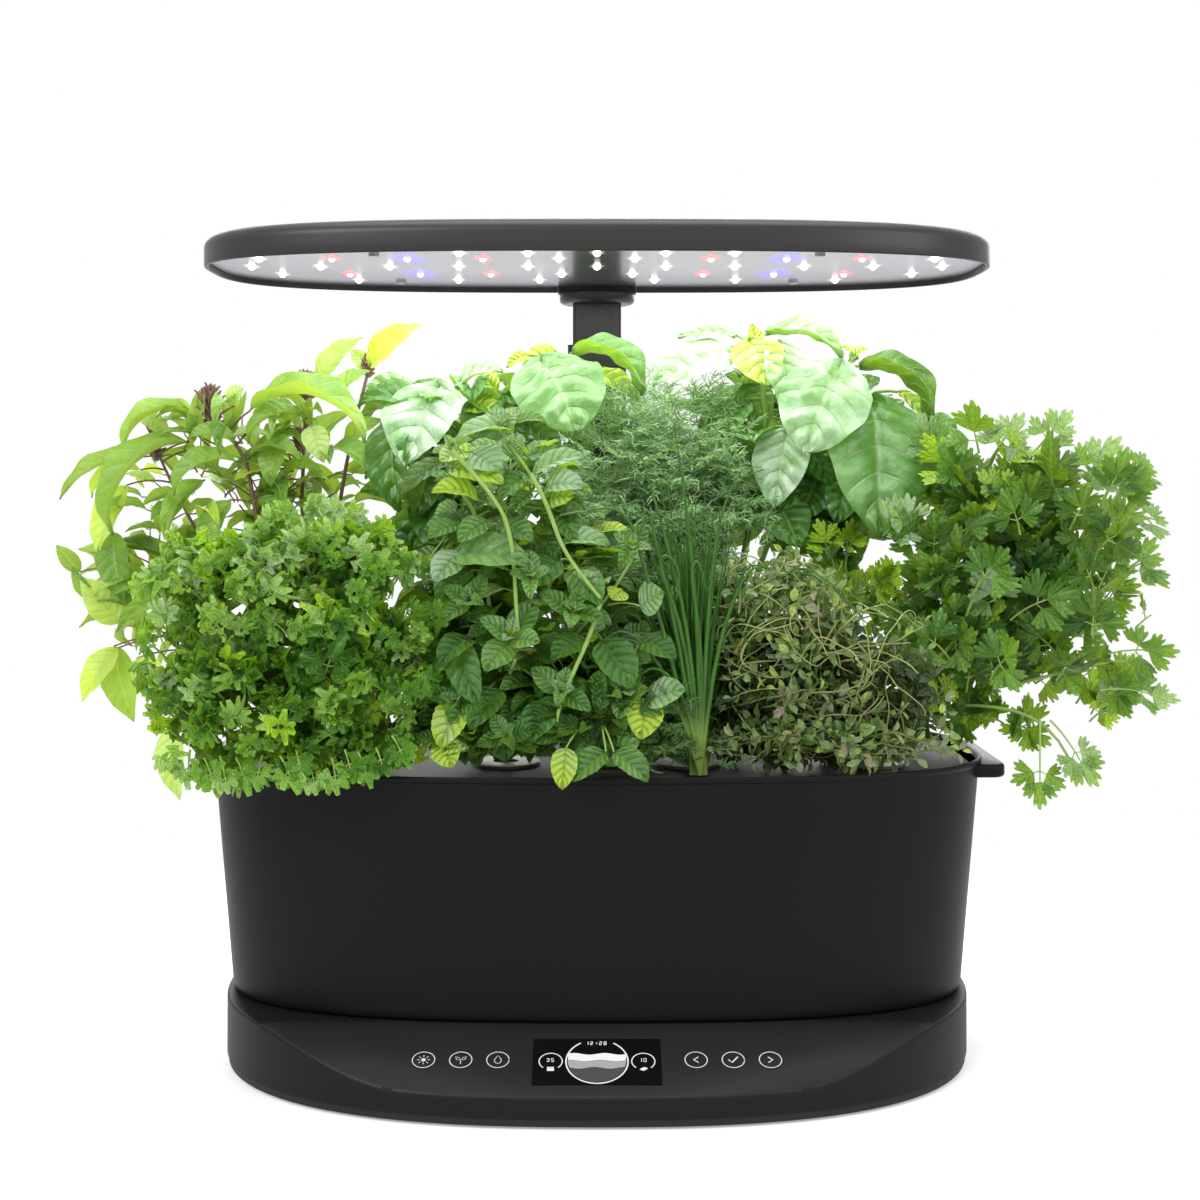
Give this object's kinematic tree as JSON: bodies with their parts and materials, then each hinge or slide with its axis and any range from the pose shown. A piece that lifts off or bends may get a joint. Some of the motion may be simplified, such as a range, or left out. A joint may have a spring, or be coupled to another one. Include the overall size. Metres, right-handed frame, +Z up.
{
  "type": "countertop hydroponic garden",
  "caption": "Countertop hydroponic garden: base with sloped touch panel, water bowl with planted pods, and an LED lamp hood on a telescoping mast.",
  "frame": {"origin": "middle of the base, on the surface that it stands on (the face of the middle foot)", "axes": "+X to the right along the width, -Y to the front with the control panel, +Z up"},
  "size_m": [0.626, 0.2888, 0.44],
  "materials": {
    "base_black": "matte",
    "plate_black": "matte",
    "foot_rubber": "matte",
    "screw_steel": "satin",
    "panel_satin": "satin",
    "window_black": "gloss",
    "display_grey": "matte",
    "print_grey": "matte",
    "pad_copper": "satin",
    "board_green": "satin",
    "jack_black": "satin",
    "bowl_black": "matte",
    "deck_grey": "matte",
    "lid_grey": "matte",
    "pin_steel": "satin",
    "basket_grey": "matte",
    "sponge_brown": "matte",
    "label_white": "matte",
    "pump_grey": "satin",
    "coil_copper": "satin",
    "impeller_white": "satin",
    "pin_ceramic": "polished",
    "filter_black": "matte",
    "tube_clear": "satin",
    "float_blue": "satin",
    "mast_black": "satin",
    "mast_foot_black": "matte",
    "lead_black": "matte",
    "collar_grey": "satin",
    "bracket_black": "gloss",
    "hood_grey": "matte",
    "heat_aluminium": "satin",
    "led_board_white": "matte",
    "reflector_satin": "satin",
    "led_white": "gloss",
    "led_red": "gloss",
    "led_blue": "gloss",
    "leaf_thai_basil": "satin",
    "leaf_basil": "satin",
    "leaf_dill": "matte",
    "leaf_parsley": "satin",
    "leaf_curly": "matte",
    "leaf_mint": "matte",
    "leaf_chives": "satin",
    "leaf_thyme": "matte"
  },
  "bodies": {
    "base": {"base_shell": "base_black", "base_plate": "plate_black", "rubber_feet": "foot_rubber", "base_screws": "screw_steel", "control_panel": "panel_satin", "display_window": "window_black", "display_module": "display_grey", "button_marks": "print_grey", "touch_pads": "pad_copper", "control_board": "board_green", "main_board": "board_green", "dc_jack": "jack_black", "bowl": "bowl_black", "bowl_connector": "jack_black", "grow_deck": "deck_grey", "fill_lid_pin": "pin_steel", "pod_baskets": "basket_grey", "grow_sponges": "sponge_brown", "pod_labels": "label_white", "pump_housing": "pump_grey", "pump_coil": "coil_copper", "rotor_pin": "pin_ceramic", "pump_filter": "filter_black", "riser_tube": "tube_clear", "float_guide": "pump_grey", "mast_foot": "mast_foot_black", "mast_screws": "screw_steel", "mast_outer": "mast_black", "mast_cap_lower": "mast_foot_black", "lamp_lead": "lead_black", "thai_basil": "leaf_thai_basil", "basil_left": "leaf_basil", "dill": "leaf_dill", "basil_right": "leaf_basil", "flat_parsley": "leaf_parsley", "curly_parsley": "leaf_curly", "mint": "leaf_mint", "chives": "leaf_chives", "thyme": "leaf_thyme"},
    "mast_middle": {"mast_middle": "mast_black", "mast_cap_upper": "mast_foot_black"},
    "hood": {"mast_top": "mast_black", "collar": "collar_grey", "hood_bracket": "bracket_black", "bracket_screws": "screw_steel", "hood_shell": "hood_grey", "heat_plate": "heat_aluminium", "led_board": "led_board_white", "reflector": "reflector_satin", "hood_screws": "screw_steel", "leds_white": "led_white", "leds_red": "led_red", "leds_blue": "led_blue"},
    "fill_lid": {"fill_lid": "lid_grey"},
    "impeller": {"pump_impeller": "impeller_white"},
    "float": {"water_float": "float_blue"}
  },
  "joints": [
    {"name": "middle_lift", "type": "slide", "parent": "base", "child": "mast_middle", "axis": [0, 0, 1], "range_m": [0, 0.25]},
    {"name": "hood_lift", "type": "slide", "parent": "mast_middle", "child": "hood", "axis": [0, 0, 1], "range_m": [0, 0.168]},
    {"name": "fill_lid_hinge", "type": "hinge", "parent": "base", "child": "fill_lid", "pos_m": [0, -0.057, 0.1592], "axis": [-1, 0, 0], "range_deg": [0, 100]},
    {"name": "impeller_spin", "type": "hinge", "parent": "base", "child": "impeller", "pos_m": [0.115, 0.056, 0.05], "axis": [0, 0, 1], "continuous": true},
    {"name": "float_rise", "type": "slide", "parent": "base", "child": "float", "axis": [0, 0, 1], "range_m": [0, 0.085]}
  ]
}
